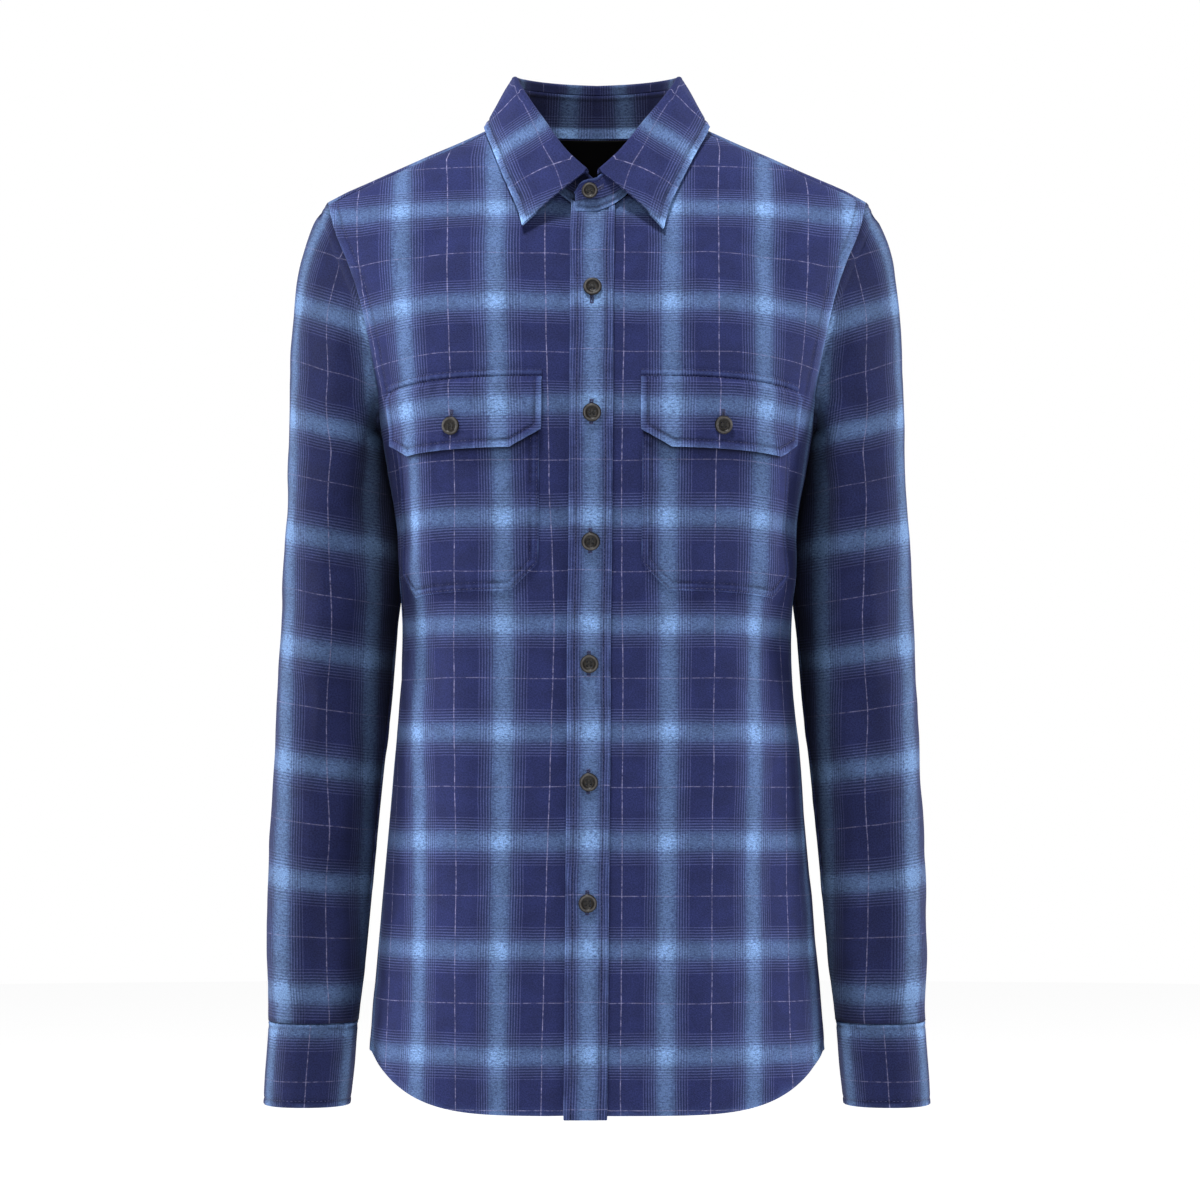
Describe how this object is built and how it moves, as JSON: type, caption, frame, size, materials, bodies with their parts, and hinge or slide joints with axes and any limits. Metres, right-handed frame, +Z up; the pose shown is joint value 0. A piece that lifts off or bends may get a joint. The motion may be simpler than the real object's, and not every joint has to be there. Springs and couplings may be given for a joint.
{
  "type": "plaid flannel button-up utility shirt",
  "caption": "Long-sleeved plaid flannel shirt, buttoned and filled out, with a turn-down collar, flapped chest pockets, buttoned cuffs and a curved hem.",
  "frame": {"origin": "middle of the neck opening, level with the shoulder seams, where a wearer's shoulders hold the shirt up", "axes": "+Z up, front faces -Y, wearer's left at +X"},
  "size_m": [0.5044, 0.2396, 0.7933],
  "materials": {
    "plaid_flannel": "brushed matte, navy and light blue shadow plaid",
    "black_lining": "plain woven, matte",
    "horn_button": "satin, four holes, turned rim"
  },
  "bodies": {
    "root": {"front_left": "plaid_flannel", "front_right": "plaid_flannel", "placket": "plaid_flannel", "back": "plaid_flannel", "yoke": "plaid_flannel", "collar_leaf": "plaid_flannel", "collar_stand": "plaid_flannel", "sleeve_left": "plaid_flannel", "sleeve_right": "plaid_flannel", "cuff_left": "plaid_flannel", "cuff_right": "plaid_flannel", "sleeve_placket_left": "plaid_flannel", "sleeve_placket_right": "plaid_flannel", "pocket_left": "plaid_flannel", "pocket_right": "plaid_flannel", "flap_left": "plaid_flannel", "flap_right": "plaid_flannel", "inside_yoke": "black_lining", "button_collar": "horn_button", "button_front_1": "horn_button", "button_front_2": "horn_button", "button_front_3": "horn_button", "button_front_4": "horn_button", "button_front_5": "horn_button", "button_front_6": "horn_button", "button_flap_left": "horn_button", "button_flap_right": "horn_button", "button_cuff_left": "horn_button", "button_cuff_right": "horn_button"}
  },
  "joints": []
}
